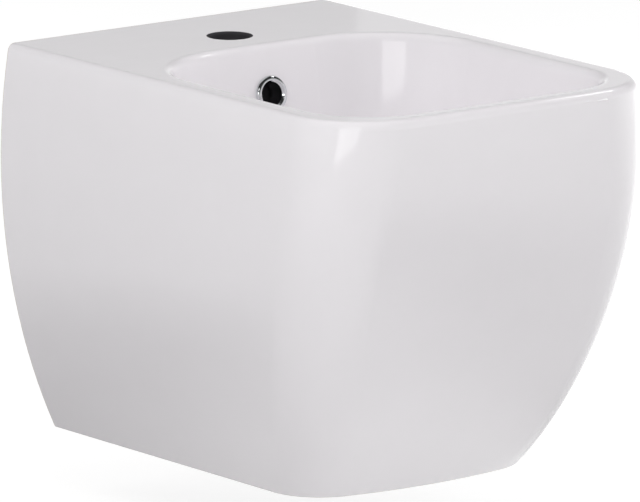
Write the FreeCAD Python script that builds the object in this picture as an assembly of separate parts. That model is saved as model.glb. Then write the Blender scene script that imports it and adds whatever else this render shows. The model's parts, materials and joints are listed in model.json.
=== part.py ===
import FreeCAD, Part
import math
import os

# All sizes are in millimetres, angles in degrees
# The origin lies on the wall face, midway between the two wall fixings
# X runs along the wall, the wall is at Y = 0, the front looks to -Y, Z is up

# Outer form of the ceramic body
BODY_WIDTH = 360.0
BODY_DEPTH = 475.0
BODY_HEIGHT = 342.0
RIM_ABOVE_FIXING = 85.0
SIDE_RADIUS = 552.0
WIDEST_BELOW_RIM = 100.0
FRONT_RADIUS = 862.0
FRONT_UPRIGHT_ABOVE_RIM = 63.5
KNEE_BELOW_RIM = 261.0
KNEE_RADIUS = 347.0
CORNER_AT_RIM = 70.0
CORNER_AT_BASE = 50.0
BOW_AT_RIM = 4.0
BOW_AT_BASE = 18.0
RIM_OUTER_ROUND = 7.0
RIM_INNER_ROUND = 8.0
BASE_ROUND = 3.0

# Thickness of the ceramic
OUTER_WALL = 10.0
REAR_WALL = 14.0
DECK_THICKNESS = 14.0
RIM_SOLID_DEPTH = 36.0
BASIN_WALL = 10.0

# Basin
RIM_WIDTH_SIDE = 24.0
RIM_WIDTH_FRONT = 22.0
DECK_DEPTH = 137.0
BASIN_REAR_CORNER = 95.0
BASIN_FRONT_CORNER = 62.0
BASIN_DRAFT = 10.0
BASIN_DEPTH = 120.0
FLOOR_SLOPE = 4.0
FLOOR_ROUND = 40.0

# Holes in the ceramic
TAP_HOLE_DIAMETER = 36.0
TAP_HOLE_FROM_WALL = 86.0
TAP_HOLE_ROUND = 2.5
OVERFLOW_HOLE_DIAMETER = 25.0
OVERFLOW_BELOW_RIM = 42.0
DRAIN_FROM_WALL = 240.0
DRAIN_HOLE_DIAMETER = 46.0
SERVICE_WIDTH = 190.0
SERVICE_TOP_BELOW_FIXING = 48.0
SERVICE_CORNER = 40.0
FIXING_SPACING = 180.0
FIXING_HOLE_DIAMETER = 18.0

# Overflow duct cast behind and under the basin
DUCT_WIDTH = 44.0
DUCT_DEPTH = 11.0
DUCT_WALL = 7.0
DUCT_HEAD = 17.0
BOSS_DIAMETER = 82.0
GALLERY_DIAMETER = 64.0
SEAT_DIAMETER = 70.0
SEAT_DEPTH = 2.0

# Overflow ring
RING_DIAMETER = 32.0
RING_OPENING = 21.0
RING_HEIGHT = 3.4
RING_BEVEL = 1.8
RING_SPIGOT_WALL = 1.6
RING_SPIGOT_LENGTH = 13.0

# Waste
FLANGE_DIAMETER = 64.0
FLANGE_THICKNESS = 3.5
FLANGE_LIP = 4.0
FLANGE_BEVEL = 1.2
FUNNEL_ANGLE = 18.0
THREAD_DIAMETER = 41.6
WASTE_BORE = 35.6
WASTE_LENGTH = 62.0
WINDOW_WIDTH = 18.0
WINDOW_COUNT = 3
FLANGE_SEAL_THICKNESS = 2.0
UNDER_SEAL_DIAMETER = 62.0
UNDER_SEAL_THICKNESS = 5.0
SLIP_WASHER_THICKNESS = 2.0
BACK_NUT_ACROSS_FLATS = 55.0
BACK_NUT_HEIGHT = 8.0
BRIDGE_ARMS = 3
BRIDGE_ARM_WIDTH = 4.0
BRIDGE_HEIGHT = 6.0

# Push plug
PLUG_TRAVEL = 9.0
PLUG_DIAMETER = 60.0
PLUG_THICKNESS = 6.0
PLUG_BEVEL = 1.2
PLUG_REGISTER = 2.0
PLUG_SOCKET = 3.0
PLUG_SEAL_INNER = 37.0
PLUG_SEAL_OUTER = 46.0
STEM_DIAMETER = 8.0
PISTON_DIAMETER = 12.6
PISTON_HEIGHT = 4.0
CARTRIDGE_DIAMETER = 17.0
CARTRIDGE_WALL = 1.8
CARTRIDGE_HEIGHT = 26.0
CARTRIDGE_END = 2.5
SPRING_DIAMETER = 9.4
SPRING_WIRE = 1.0
SPRING_TURNS = 4

# Bottle trap
PIPE_DIAMETER = 32.0
PIPE_WALL = 1.6
PIPE_MARK = 0.6
TRAP_NUT_DIAMETER = 54.0
TRAP_NUT_ACROSS_FLATS = 52.0
TRAP_NUT_LENGTH = 17.0
TRAP_NUT_LIP = 3.0
TRAP_NUT_FLAT_COUNT = 10
TRAP_SPOUT_DIAMETER = 41.0
TRAP_SPOUT_LENGTH = 14.0
TRAP_HEAD_DIAMETER = 66.0
TRAP_HEAD_HEIGHT = 48.0
TRAP_WALL = 3.0
TRAP_BELOW_WASTE = 22.0
TRAP_CUP_HEIGHT = 54.0
CUP_BEVEL = 8.0
CUP_COLLAR = 10.0
CUP_GRIP = 2.4
TRAP_SPIGOT = 13.0
CUP_SEAL_THICKNESS = 2.0
DIP_ABOVE_CUP_FLOOR = 24.0
CONE_WASHER_HEIGHT = 4.0
TUBE_FLANGE_DIAMETER = 40.0
TUBE_FLANGE_THICKNESS = 2.0
COUPLING_WASHER_THICKNESS = 1.5
OUTLET_PAST_WALL = 50.0

# Wall fixings
STUD_DIAMETER = 12.0
STUD_CORE_DIAMETER = 10.8
STUD_PAST_WALL = 60.0
STUD_PAST_NUT = 8.0
SLEEVE_FLANGE_DIAMETER = 32.0
SLEEVE_FLANGE_THICKNESS = 3.0
SLEEVE_SHY = 1.0
WASHER_DIAMETER = 30.0
WASHER_THICKNESS = 2.5
NUT_ACROSS_FLATS = 19.0
NUT_HEIGHT = 10.0

# Clearances
FIT_GAP = 0.2
SLIDE_GAP = 0.06
STOP_GAP = 0.3

# Derived heights
RIM_Z = RIM_ABOVE_FIXING
BASE_Z = RIM_Z - BODY_HEIGHT
DRAIN_Y = -DRAIN_FROM_WALL
FLOOR_Z = RIM_Z - BASIN_DEPTH
SEAT_Z = FLOOR_Z - SEAT_DEPTH
DUCT_NEAR = BASIN_WALL
DUCT_FAR = BASIN_WALL + DUCT_DEPTH
BOSS_Z = FLOOR_Z - DUCT_FAR - DUCT_WALL - SEAT_DEPTH
WASTE_TOP_Z = SEAT_Z + FLANGE_SEAL_THICKNESS + FLANGE_THICKNESS
WASTE_END_Z = WASTE_TOP_Z - WASTE_LENGTH
BRIDGE_Z = SEAT_Z - CARTRIDGE_HEIGHT
PLUG_Z = WASTE_TOP_Z + STOP_GAP + PLUG_TRAVEL
HEAD_TOP_Z = WASTE_END_Z - TRAP_BELOW_WASTE - TRAP_SPOUT_LENGTH
HEAD_END_Z = HEAD_TOP_Z - TRAP_HEAD_HEIGHT
OUTLET_Z = HEAD_TOP_Z - TRAP_HEAD_HEIGHT / 2.0
CUP_TOP_Z = HEAD_END_Z - CUP_SEAL_THICKNESS
CUP_END_Z = CUP_TOP_Z - TRAP_CUP_HEIGHT
TUBE_TOP_Z = WASTE_END_Z - COUPLING_WASHER_THICKNESS
PISTON_TOP_Z = SEAT_Z - CARTRIDGE_END - STOP_GAP

# Derived distances of the wall fixings from the wall face
SLEEVE_END = REAR_WALL + SLEEVE_FLANGE_THICKNESS
WASHER_END = SLEEVE_END + WASHER_THICKNESS
NUT_END = WASHER_END + NUT_HEIGHT

SECTION_COUNT = 6

# How far cutting tools reach past a face, and how far an edge may lie from a stated place
BEYOND = 5.0
NEAR = 1.0


def vec(x, y, z):
    return FreeCAD.Vector(x, y, z)


def blend(at_rim, at_base, depth):
    return at_rim + (at_base - at_rim) * depth / BODY_HEIGHT


def closed_wire(start, steps, place):
    """Closed wire from a start point: a step is a point, or the middle and end of an arc."""
    edges = []
    here = start
    for step in steps + [start]:
        if isinstance(step[0], tuple):
            middle, end = step
            edges.append(Part.Arc(place(*here), place(*middle), place(*end)).toShape())
        else:
            end = step
            edges.append(Part.makeLine(place(*here), place(*end)))
        here = end
    return Part.Wire(edges)


def turned(start, steps):
    """Solid of revolution about Z from a profile of radius and height."""
    wire = closed_wire(start, steps, lambda r, z: vec(r, 0, z))
    return Part.Face(wire).revolve(vec(0, 0, 0), vec(0, 0, 1), 360)


def ring(inner, outer, low, high):
    """Plain ring about Z, by diameters and heights."""
    return turned((inner / 2, low), [(outer / 2, low), (outer / 2, high), (inner / 2, high)])


def prism(sides, across_flats, low, high):
    """Upright prism about Z on a regular outline."""
    radius = across_flats / 2 / math.cos(math.pi / sides)
    corners = []
    for i in range(sides + 1):
        angle = 2 * math.pi * i / sides
        corners.append(vec(radius * math.cos(angle), radius * math.sin(angle), low))
    return Part.Face(Part.makePolygon(corners)).extrude(vec(0, 0, high - low))


def around(shape, count, offset=0.0):
    """Copies of a shape spread evenly about Z."""
    copies = []
    for i in range(count):
        copy = shape.copy()
        copy.rotate(vec(0, 0, 0), vec(0, 0, 1), offset + 360.0 * i / count)
        copies.append(copy)
    return copies


def at_drain(shape):
    shape.translate(vec(0, DRAIN_Y, 0))
    return shape


def aimed(shape, base, direction):
    """Turn a shape built about Z to another direction and set it on a base point."""
    turn = FreeCAD.Rotation(vec(0, 0, 1), direction)
    shape.Placement = FreeCAD.Placement(base, turn)
    return shape


def arc_drop(depth, middle, radius):
    return radius - math.sqrt(radius ** 2 - (depth - middle) ** 2)


def half_width(depth):
    return BODY_WIDTH / 2 - arc_drop(depth, WIDEST_BELOW_RIM, SIDE_RADIUS)


def front_depth(depth):
    """Front of the body: a long arc above the knee and a tighter tangent arc below it."""
    upright = -FRONT_UPRIGHT_ABOVE_RIM
    full = BODY_DEPTH + arc_drop(0, upright, FRONT_RADIUS)
    if depth <= KNEE_BELOW_RIM:
        return full - arc_drop(depth, upright, FRONT_RADIUS)
    lean = math.asin((KNEE_BELOW_RIM - upright) / FRONT_RADIUS)
    knee_middle = KNEE_BELOW_RIM - KNEE_RADIUS * math.sin(lean)
    to_knee = arc_drop(KNEE_BELOW_RIM, upright, FRONT_RADIUS)
    at_knee = arc_drop(KNEE_BELOW_RIM, knee_middle, KNEE_RADIUS)
    past_knee = arc_drop(depth, knee_middle, KNEE_RADIUS) - at_knee
    return full - to_knee - past_knee


def rounded_front(width, depth, corner, bow, inset):
    """Points of the right half of a plan outline: side end, corner middle, corner end, front middle."""
    front_radius = (width ** 2 + bow ** 2) / (2 * bow)
    front_y = front_radius - depth
    corner_x = width - corner
    corner_y = front_y - math.sqrt((front_radius - corner) ** 2 - corner_x ** 2)
    end_angle = math.atan2(corner_y - front_y, corner_x)
    radius = corner - inset

    def on_corner(angle):
        return (corner_x + radius * math.cos(angle), corner_y + radius * math.sin(angle))

    return on_corner(0.0), on_corner(end_angle / 2), on_corner(end_angle), (0.0, inset - depth)


def mirrored(point):
    return (-point[0], point[1])


def body_outline(depth, inset, rear):
    """Closed plan wire of the body at a depth below the rim."""
    corner = blend(CORNER_AT_RIM, CORNER_AT_BASE, depth)
    bow = blend(BOW_AT_RIM, BOW_AT_BASE, depth)
    side, bend, front, middle = rounded_front(half_width(depth), front_depth(depth), corner, bow, inset)
    steps = [side, (bend, front), (middle, mirrored(front)), (mirrored(bend), mirrored(side)),
             (-side[0], rear)]
    return closed_wire((side[0], rear), steps, lambda x, y: vec(x, y, RIM_Z - depth))


def body_form(inset, rear, top, bottom):
    spans = SECTION_COUNT - 1
    wires = []
    for i in range(SECTION_COUNT):
        wires.append(body_outline(top + (bottom - top) * i / spans, inset, rear))
    return Part.makeLoft(wires, True, False)


def basin_outline(z, inset):
    """Closed plan wire of the basin's hollow."""
    width = half_width(0) - RIM_WIDTH_SIDE
    depth = BODY_DEPTH - RIM_WIDTH_FRONT
    side, bend, front, middle = rounded_front(width, depth, BASIN_FRONT_CORNER, BOW_AT_RIM, inset)
    rear_x = width - BASIN_REAR_CORNER
    rear_y = -DECK_DEPTH - BASIN_REAR_CORNER
    radius = BASIN_REAR_CORNER - inset
    slant = radius * math.sqrt(0.5)
    shoulder = (side[0], rear_y)
    rear_bend = (rear_x + slant, rear_y + slant)
    rear = (rear_x, rear_y + radius)
    steps = [(rear_bend, shoulder), side, (bend, front), (middle, mirrored(front)),
             (mirrored(bend), mirrored(side)), mirrored(shoulder), (mirrored(rear_bend), mirrored(rear))]
    return closed_wire(rear, steps, lambda x, y: vec(x, y, z))


def basin_form(grow):
    """Solid of the basin's hollow, all its faces moved outward by grow."""
    draft = math.tan(math.radians(BASIN_DRAFT))
    slope = math.tan(math.radians(FLOOR_SLOPE))
    moved = grow / math.cos(math.radians(BASIN_DRAFT))
    low = BASIN_DEPTH + grow + BEYOND
    mouth = basin_outline(RIM_Z + BEYOND, -BEYOND * draft - moved)
    foot = basin_outline(RIM_Z - low, low * draft - moved)
    walls = Part.makeLoft([mouth, foot], True, True)
    point_z = FLOOR_Z - grow / math.cos(math.radians(FLOOR_SLOPE))
    reach = BODY_DEPTH
    top_z = RIM_Z + 2 * BEYOND
    above = turned((0, point_z), [(reach, point_z + reach * slope), (reach, top_z), (0, top_z)])
    bowl = walls.common(at_drain(above))
    floor_edges = []
    for edge in bowl.Edges:
        box = edge.BoundBox
        if box.ZMax < RIM_Z - BASIN_DEPTH / 2 and box.DiagonalLength > NEAR:
            floor_edges.append(edge)
    return bowl.makeFillet(FLOOR_ROUND + grow, floor_edges)


def middle_section():
    """Centre of the rear floor rounding in the middle plane, with the normals of wall and floor."""
    draft = math.radians(BASIN_DRAFT)
    slope = math.radians(FLOOR_SLOPE)
    wall = (-math.cos(draft), math.sin(draft))
    floor = (-math.sin(slope), math.cos(slope))
    wall_reach = FLOOR_ROUND + wall[0] * -DECK_DEPTH + wall[1] * RIM_Z
    floor_reach = FLOOR_ROUND + floor[0] * DRAIN_Y + floor[1] * FLOOR_Z
    area = wall[0] * floor[1] - wall[1] * floor[0]
    y = (wall_reach * floor[1] - wall[1] * floor_reach) / area
    z = (wall[0] * floor_reach - wall_reach * floor[0]) / area
    return (y, z), wall, floor


def duct_form(near, far, half, head):
    """Overflow duct between two offsets from the basin, from a head height down to the drain axis."""
    centre, wall, floor = middle_section()
    bisect = (wall[0] + floor[0], wall[1] + floor[1])
    length = math.hypot(*bisect)

    def run(offset):
        radius = FLOOR_ROUND + offset
        on_wall = (centre[0] - wall[0] * radius, centre[1] - wall[1] * radius)
        bend = (centre[0] - bisect[0] / length * radius, centre[1] - bisect[1] / length * radius)
        on_floor = (centre[0] - floor[0] * radius, centre[1] - floor[1] * radius)
        rise = head - on_wall[1]
        top = (on_wall[0] + rise * math.tan(math.radians(BASIN_DRAFT)), head)
        fall = on_floor[0] - DRAIN_Y
        end = (DRAIN_Y, on_floor[1] - fall * math.tan(math.radians(FLOOR_SLOPE)))
        return top, on_wall, bend, on_floor, end

    outer = run(far)
    inner = run(near)
    steps = [outer[1], (outer[2], outer[3]), outer[4], inner[4], inner[3], (inner[2], inner[1]), inner[0]]
    wire = closed_wire(outer[0], steps, lambda y, z: vec(-half, y, z))
    return Part.Face(wire).extrude(vec(2 * half, 0, 0))


def overflow_axis():
    """Point where the overflow's axis leaves the basin's rear wall, and the wall's normal."""
    draft = math.radians(BASIN_DRAFT)
    point = vec(0, -DECK_DEPTH - OVERFLOW_BELOW_RIM * math.tan(draft), RIM_Z - OVERFLOW_BELOW_RIM)
    return point, vec(0, -math.cos(draft), math.sin(draft))


def service_opening():
    """Arched opening in the rear wall for the pipes, open at the base."""
    half = SERVICE_WIDTH / 2
    top = -SERVICE_TOP_BELOW_FIXING
    inner = SERVICE_CORNER * (1 - math.sqrt(0.5))
    steps = [
        (half, top - SERVICE_CORNER),
        ((half - inner, top - inner), (half - SERVICE_CORNER, top)),
        (SERVICE_CORNER - half, top),
        ((inner - half, top - inner), (-half, top - SERVICE_CORNER)),
        (-half, BASE_Z - BEYOND),
    ]
    wire = closed_wire((half, BASE_Z - BEYOND), steps, lambda x, z: vec(x, BEYOND, z))
    return Part.Face(wire).extrude(vec(0, -REAR_WALL - 2 * BEYOND, 0))


def edges_at(shape, z, front_of):
    """Edges that lie level at a height and reach in front of a distance from the wall."""
    found = []
    for edge in shape.Edges:
        box = edge.BoundBox
        level = max(abs(box.ZMin - z), abs(box.ZMax - z)) < FIT_GAP
        if level and box.YMin < -front_of:
            found.append(edge)
    return found


def behind_wall_face():
    corner = vec(-BODY_WIDTH, 0, BASE_Z - BODY_HEIGHT / 2)
    return Part.makeBox(2 * BODY_WIDTH, BODY_DEPTH, 2 * BODY_HEIGHT, corner)


def outer_form():
    """Outer body with a rounded rim and base edge, flat where it meets the wall."""
    form = body_form(0.0, RIM_OUTER_ROUND + BEYOND, 0.0, BODY_HEIGHT)
    form = form.makeFillet(RIM_OUTER_ROUND, edges_at(form, RIM_Z, BEYOND))
    form = form.makeFillet(BASE_ROUND, edges_at(form, BASE_Z, BEYOND))
    return form.cut(behind_wall_face())


def service_void():
    """Space under the basin, open at the base: up to the deck at the rear, lower under the rim."""
    space = body_form(OUTER_WALL, -REAR_WALL, DECK_THICKNESS, BODY_HEIGHT + BEYOND)
    rear = DECK_DEPTH + BASIN_WALL
    rim_block = Part.makeBox(
        2 * BODY_WIDTH, BODY_DEPTH, 2 * RIM_SOLID_DEPTH,
        vec(-BODY_WIDTH, -rear - BODY_DEPTH, RIM_Z - RIM_SOLID_DEPTH))
    boss = Part.makeCylinder(BOSS_DIAMETER / 2, FLOOR_Z - BOSS_Z, vec(0, DRAIN_Y, BOSS_Z))
    head = RIM_Z - OVERFLOW_BELOW_RIM + DUCT_HEAD + DUCT_WALL
    duct = duct_form(0.0, DUCT_FAR + DUCT_WALL, DUCT_WIDTH / 2 + DUCT_WALL, head)
    solid = basin_form(BASIN_WALL).fuse(duct).fuse(boss)
    return space.cut(rim_block).cut(solid)


def drain_cuts():
    """Drain hole with its flat seat, and the ring-shaped gallery that takes the overflow water."""
    low = vec(0, DRAIN_Y, FLOOR_Z - BASIN_DEPTH / 2)
    hole = Part.makeCylinder(DRAIN_HOLE_DIAMETER / 2, BASIN_DEPTH, low)
    seat = Part.makeCylinder(SEAT_DIAMETER / 2, BASIN_DEPTH / 4, vec(0, DRAIN_Y, SEAT_Z))
    gallery = Part.makeCylinder(GALLERY_DIAMETER / 2, DUCT_DEPTH, vec(0, DRAIN_Y, FLOOR_Z - DUCT_FAR))
    return [hole, seat, gallery]


def overflow_cuts():
    point, normal = overflow_axis()
    length = BASIN_WALL + DUCT_DEPTH / 2 + BEYOND
    hole = Part.makeCylinder(OVERFLOW_HOLE_DIAMETER / 2, length)
    hole = aimed(hole, point + normal * BEYOND, normal * -1)
    duct = duct_form(DUCT_NEAR, DUCT_FAR, DUCT_WIDTH / 2, RIM_Z - OVERFLOW_BELOW_RIM + DUCT_HEAD)
    return [hole, duct]


def fixing_cuts():
    radius = FIXING_HOLE_DIAMETER / 2
    length = REAR_WALL + 2 * BEYOND
    return [Part.makeCylinder(radius, length, vec(side * FIXING_SPACING / 2, BEYOND, 0), vec(0, -1, 0))
            for side in (-1, 1)]


def rim_edges(body):
    """Level edges of the finished top face: the tap hole's and the basin's."""
    tap_front = TAP_HOLE_FROM_WALL + TAP_HOLE_DIAMETER
    basin_half = half_width(0) - RIM_WIDTH_SIDE + NEAR
    basin_front = BODY_DEPTH - RIM_WIDTH_FRONT + NEAR
    tap = []
    basin = []
    for edge in edges_at(body, RIM_Z, TAP_HOLE_FROM_WALL):
        box = edge.BoundBox
        if box.YMin > -tap_front:
            tap.append(edge)
        elif max(box.XMax, -box.XMin) < basin_half and box.YMin > -basin_front:
            basin.append(edge)
    return tap, basin


def ceramic_body():
    body = outer_form().cut(basin_form(0.0))
    tap = vec(0, -TAP_HOLE_FROM_WALL, RIM_Z - DECK_THICKNESS - BEYOND)
    body = body.cut(Part.makeCylinder(TAP_HOLE_DIAMETER / 2, DECK_THICKNESS + 2 * BEYOND, tap))
    body = body.makeFillet(RIM_INNER_ROUND, rim_edges(body)[1])
    body = body.makeFillet(TAP_HOLE_ROUND, rim_edges(body)[0])
    body = body.cut(service_void())
    for tool in drain_cuts() + overflow_cuts() + fixing_cuts() + [service_opening()]:
        body = body.cut(tool)
    return body


def overflow_ring():
    """Bezel with bevelled edges and a spigot that plugs into the overflow hole."""
    inner = RING_OPENING / 2
    outer = RING_DIAMETER / 2
    spigot = inner + RING_SPIGOT_WALL
    edge = RING_HEIGHT / 4
    steps = [
        (spigot, -RING_SPIGOT_LENGTH),
        (spigot, 0.0),
        (outer, 0.0),
        (outer, edge),
        (outer - RING_BEVEL, RING_HEIGHT),
        (inner + RING_BEVEL, RING_HEIGHT),
        (inner, edge),
    ]
    bezel = turned((inner, -RING_SPIGOT_LENGTH), steps)
    point, normal = overflow_axis()
    return aimed(bezel, point, normal)


def waste_cone(radius):
    """Drop of the waste's funnel below its top at a radius."""
    return (FLANGE_DIAMETER / 2 - FLANGE_LIP - radius) * math.tan(math.radians(FUNNEL_ANGLE))


def waste_body():
    """Flanged waste tube with a funnel mouth, overflow windows and a cross bridge for the cartridge."""
    bore = WASTE_BORE / 2
    thread = THREAD_DIAMETER / 2
    outer = FLANGE_DIAMETER / 2
    flange_z = SEAT_Z + FLANGE_SEAL_THICKNESS
    steps = [
        (thread, WASTE_END_Z),
        (thread, flange_z),
        (outer, flange_z),
        (outer, WASTE_TOP_Z - FLANGE_BEVEL),
        (outer - FLANGE_BEVEL, WASTE_TOP_Z),
        (outer - FLANGE_LIP, WASTE_TOP_Z),
        (bore, WASTE_TOP_Z - waste_cone(bore)),
    ]
    tube = turned((bore, WASTE_END_Z), steps)
    window = Part.makeBox(
        thread, WINDOW_WIDTH, DUCT_DEPTH, vec(bore / 2, -WINDOW_WIDTH / 2, FLOOR_Z - DUCT_FAR))
    tube = tube.cut(Part.makeCompound(around(window, WINDOW_COUNT)))
    bridge_low = BRIDGE_Z - BRIDGE_HEIGHT
    arm_length = (bore + thread) / 2
    arm = Part.makeBox(
        arm_length, BRIDGE_ARM_WIDTH, BRIDGE_HEIGHT, vec(0, -BRIDGE_ARM_WIDTH / 2, bridge_low))
    hub = Part.makeCylinder(CARTRIDGE_DIAMETER / 2, BRIDGE_HEIGHT, vec(0, 0, bridge_low))
    return at_drain(tube.fuse([hub] + around(arm, BRIDGE_ARMS)).removeSplitter())


def flange_seal():
    inner = THREAD_DIAMETER + 2 * FIT_GAP
    outer = FLANGE_DIAMETER - 2 * FLANGE_LIP
    return at_drain(ring(inner, outer, SEAT_Z, SEAT_Z + FLANGE_SEAL_THICKNESS))


def under_basin_seal():
    """Thick seal ring under the drain boss, tapered on its outside."""
    inner = THREAD_DIAMETER / 2 + FIT_GAP
    outer = UNDER_SEAL_DIAMETER / 2
    low = BOSS_Z - UNDER_SEAL_THICKNESS
    taper = UNDER_SEAL_THICKNESS / 2
    steps = [(outer - taper, low), (outer, BOSS_Z - taper), (outer, BOSS_Z), (inner, BOSS_Z)]
    return at_drain(turned((inner, low), steps))


def slip_washer():
    top = BOSS_Z - UNDER_SEAL_THICKNESS
    outer = UNDER_SEAL_DIAMETER - UNDER_SEAL_THICKNESS
    return at_drain(ring(THREAD_DIAMETER + 2 * FIT_GAP, outer, top - SLIP_WASHER_THICKNESS, top))


def back_nut():
    top = BOSS_Z - UNDER_SEAL_THICKNESS - SLIP_WASHER_THICKNESS
    low = top - BACK_NUT_HEIGHT
    bore = Part.makeCylinder(THREAD_DIAMETER / 2 + FIT_GAP, BACK_NUT_HEIGHT, vec(0, 0, low))
    return at_drain(prism(6, BACK_NUT_ACROSS_FLATS, low, top).cut(bore))


def plug_cap():
    """Flat cap with bevelled edges, a register for its seal and a blind hole for the stem."""
    outer = PLUG_DIAMETER / 2
    edge = outer - PLUG_BEVEL
    top = PLUG_Z + PLUG_THICKNESS
    register = PLUG_SEAL_INNER / 2 - FIT_GAP
    hole = STEM_DIAMETER / 2 + FIT_GAP
    steps = [
        (edge, top),
        (outer, top - PLUG_BEVEL),
        (outer, PLUG_Z + PLUG_BEVEL),
        (edge, PLUG_Z),
        (register, PLUG_Z),
        (register, PLUG_Z - PLUG_REGISTER),
        (hole, PLUG_Z - PLUG_REGISTER),
        (hole, PLUG_Z + PLUG_SOCKET),
        (0.0, PLUG_Z + PLUG_SOCKET),
    ]
    return at_drain(turned((0.0, top), steps))


def plug_seal():
    """Seal ring under the cap, its lower face parallel to the waste's funnel."""
    inner = PLUG_SEAL_INNER / 2
    outer = PLUG_SEAL_OUTER / 2
    steps = [
        (outer, PLUG_Z - waste_cone(outer) + STOP_GAP),
        (outer, PLUG_Z),
        (inner, PLUG_Z),
    ]
    return at_drain(turned((inner, PLUG_Z - waste_cone(inner) + STOP_GAP), steps))


def plug_stem():
    """Stem from the cap down into the cartridge, with the piston that the spring lifts."""
    stem = STEM_DIAMETER / 2
    piston = PISTON_DIAMETER / 2
    piston_low = PISTON_TOP_Z - PISTON_HEIGHT
    top = PLUG_Z + PLUG_SOCKET
    steps = [(piston, piston_low), (piston, PISTON_TOP_Z), (stem, PISTON_TOP_Z), (stem, top), (0.0, top)]
    return at_drain(turned((0.0, piston_low), steps))


def plug_cartridge():
    """Push-to-open housing that stands on the bridge and guides the stem in its collar."""
    outer = CARTRIDGE_DIAMETER / 2
    inner = outer - CARTRIDGE_WALL
    guide = STEM_DIAMETER / 2 + SLIDE_GAP
    collar = SEAT_Z - CARTRIDGE_END
    floor = BRIDGE_Z + CARTRIDGE_END
    steps = [(outer, BRIDGE_Z), (outer, SEAT_Z), (guide, SEAT_Z), (guide, collar), (inner, collar),
             (inner, floor), (0.0, floor)]
    return at_drain(turned((0.0, BRIDGE_Z), steps))


def arc_between(start, apex, end):
    """Arc that leaves start toward apex and arrives at end, both the same distance from apex."""
    middle = (start + end) * 0.5
    down = middle - apex
    side = (start - apex).Length
    sine = (start - middle).Length / side
    radius = side * sine / math.sqrt(1 - sine ** 2)
    down.normalize()
    return Part.Arc(start, apex + down * radius * (1 / sine - 1), end).toShape()


def coil_wire(radius, low, high, turns):
    """Helix of biarcs, two for every half turn."""
    pitch = (high - low) / turns
    rise = pitch / (2 * math.pi)

    def station(angle):
        place = vec(radius * math.cos(angle), radius * math.sin(angle), low + rise * angle)
        heading = vec(-radius * math.sin(angle), radius * math.cos(angle), rise)
        heading.normalize()
        return place, heading

    edges = []
    for half in range(2 * turns):
        start, leave = station(half * math.pi)
        end, arrive = station((half + 1) * math.pi)
        chord = end - start
        both = leave + arrive
        a = both.dot(both) - 4
        b = -2 * chord.dot(both)
        c = chord.dot(chord)
        reach = (-b - math.sqrt(b * b - 4 * a * c)) / (2 * a)
        first = start + leave * reach
        second = end - arrive * reach
        joint = (first + second) * 0.5
        edges.append(arc_between(start, first, joint))
        edges.append(arc_between(joint, second, end))
    return Part.Wire(edges)


def plug_spring():
    """Compression spring of flat wire between the cartridge's floor and the piston."""
    half_wire = SPRING_WIRE / 2
    low = BRIDGE_Z + CARTRIDGE_END + half_wire + FIT_GAP
    high = PISTON_TOP_Z - PISTON_HEIGHT - half_wire - FIT_GAP
    radius = SPRING_DIAMETER / 2
    path = coil_wire(radius, low, high, SPRING_TURNS)
    heading = vec(0, radius, (high - low) / SPRING_TURNS / (2 * math.pi))
    heading.normalize()
    across = vec(1, 0, 0)
    upright = across.cross(heading)
    square = [(half_wire, -half_wire), (half_wire, half_wire), (-half_wire, half_wire)]
    profile = closed_wire(
        (-half_wire, -half_wire), square, lambda a, b: vec(radius, 0, low) + across * a + upright * b)
    return at_drain(path.makePipeShell([profile], True, False))


def slip_nut(bore, hole):
    """Many-sided trap nut about Z: its lip is at the top and the lip's lower face is at Z = 0."""
    outer = TRAP_NUT_DIAMETER / 2
    low = TRAP_NUT_LIP - TRAP_NUT_LENGTH
    edge = TRAP_NUT_LIP / 2
    steps = [
        (outer, low),
        (outer, TRAP_NUT_LIP - edge),
        (outer - edge, TRAP_NUT_LIP),
        (hole, TRAP_NUT_LIP),
        (hole, 0.0),
        (bore, 0.0),
    ]
    nut = turned((bore, low), steps)
    return nut.common(prism(TRAP_NUT_FLAT_COUNT, TRAP_NUT_ACROSS_FLATS, low, TRAP_NUT_LIP))


def trap_coupling_nut():
    nut = slip_nut(THREAD_DIAMETER / 2 + FIT_GAP, PIPE_DIAMETER / 2 + FIT_GAP)
    low = TUBE_TOP_Z - TUBE_FLANGE_THICKNESS
    return aimed(nut, vec(0, DRAIN_Y, low), vec(0, 0, -1))


def trap_coupling_washer():
    return at_drain(ring(WASTE_BORE, TUBE_FLANGE_DIAMETER, TUBE_TOP_Z, WASTE_END_Z))


def trap_inlet_tube():
    """Flanged tube from the waste that dips into the water of the cup."""
    outer = PIPE_DIAMETER / 2
    inner = outer - PIPE_WALL
    flange = TUBE_FLANGE_DIAMETER / 2
    end = CUP_END_Z + TRAP_WALL + DIP_ABOVE_CUP_FLOOR
    under = TUBE_TOP_Z - TUBE_FLANGE_THICKNESS
    steps = [(outer, end), (outer, under), (flange, under), (flange, TUBE_TOP_Z), (inner, TUBE_TOP_Z)]
    return at_drain(turned((inner, end), steps))


def cone_washer():
    """Tapered sealing washer about Z, resting on a spout at Z = 0."""
    inner = PIPE_DIAMETER / 2 + FIT_GAP / 2
    outer = TRAP_SPOUT_DIAMETER / 2
    top = CONE_WASHER_HEIGHT
    taper = top / 2
    steps = [(outer, 0.0), (outer, top - taper), (outer - taper, top), (inner, top)]
    return turned((inner, 0.0), steps)


def spout_nut():
    return slip_nut(TRAP_SPOUT_DIAMETER / 2 + FIT_GAP, PIPE_DIAMETER / 2 + FIT_GAP)


def inlet_spout():
    return vec(0, DRAIN_Y, HEAD_TOP_Z + TRAP_SPOUT_LENGTH), vec(0, 0, 1)


def outlet_spout():
    return vec(0, DRAIN_Y + TRAP_HEAD_DIAMETER / 2 + TRAP_SPOUT_LENGTH, OUTLET_Z), vec(0, 1, 0)


def trap_inlet_nut():
    base, axis = inlet_spout()
    return aimed(spout_nut(), base + axis * CONE_WASHER_HEIGHT, axis)


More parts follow.
